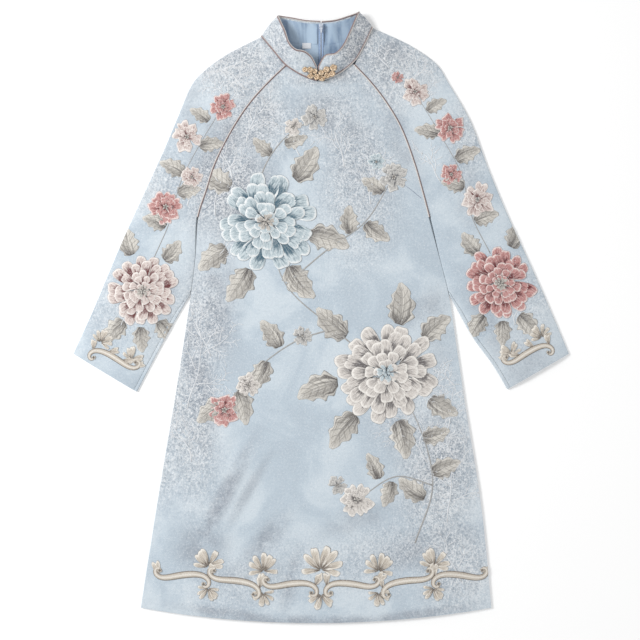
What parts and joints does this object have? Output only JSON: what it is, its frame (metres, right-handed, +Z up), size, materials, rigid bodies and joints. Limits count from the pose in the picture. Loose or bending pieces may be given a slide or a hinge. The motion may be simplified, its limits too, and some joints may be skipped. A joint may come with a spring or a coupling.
{
  "type": "cheongsam dress",
  "caption": "Knee-length A-line cheongsam dress in pale blue brocade, laid flat on its back, with a stand collar, piped raglan sleeves, a beaded neck closure and a centre back zip",
  "frame": {"origin": "middle of the laid-out dress, on the surface that it lies on", "axes": "+Y from the hem to the collar, +X to the viewer's right seen from above, +Z up, away from the surface"},
  "size_m": [0.7922, 0.9782, 0.0332],
  "materials": {
    "brocade": "jacquard brocade with raised motifs and a faint sheen",
    "lining": "smooth blue satin",
    "piping": "dusty rose bias piping with a cream edge",
    "zip_tape": "woven tape",
    "zip_slider": "pale lacquered metal",
    "label": "plain woven label",
    "gold_bead": "pale gold beads"
  },
  "bodies": {
    "dress": {"front_body": "brocade", "back_body_left": "brocade", "back_body_right": "brocade", "sleeve_front_left": "brocade", "sleeve_front_right": "brocade", "sleeve_back_left": "brocade", "sleeve_back_right": "brocade", "collar_left": "brocade", "collar_right": "brocade", "collar_lining_left": "lining", "collar_lining_right": "lining", "neck_lining_left": "lining", "neck_lining_right": "lining", "collar_piping_left": "piping", "collar_piping_right": "piping", "neck_piping_left": "piping", "neck_piping_right": "piping", "raglan_piping_left": "piping", "raglan_piping_right": "piping", "zip_tape_left": "zip_tape", "zip_tape_right": "zip_tape", "zip_slider": "zip_slider", "size_label": "label", "closure_bead_1": "gold_bead", "closure_bead_2": "gold_bead", "closure_bead_3": "gold_bead", "closure_bead_4": "gold_bead", "closure_bead_5": "gold_bead", "closure_bead_6": "gold_bead", "closure_bead_7": "gold_bead", "closure_bead_8": "gold_bead", "closure_bead_9": "gold_bead", "closure_bead_10": "gold_bead", "closure_bead_11": "gold_bead"},
    "zip_pull": {"zip_pull": "zip_slider"}
  },
  "joints": [
    {"name": "zip_pull_swing", "type": "hinge", "parent": "dress", "child": "zip_pull", "pos_m": [0, 0.46194, 0.01475], "axis": [-1, 0, 0], "range_deg": [0, 150]}
  ]
}
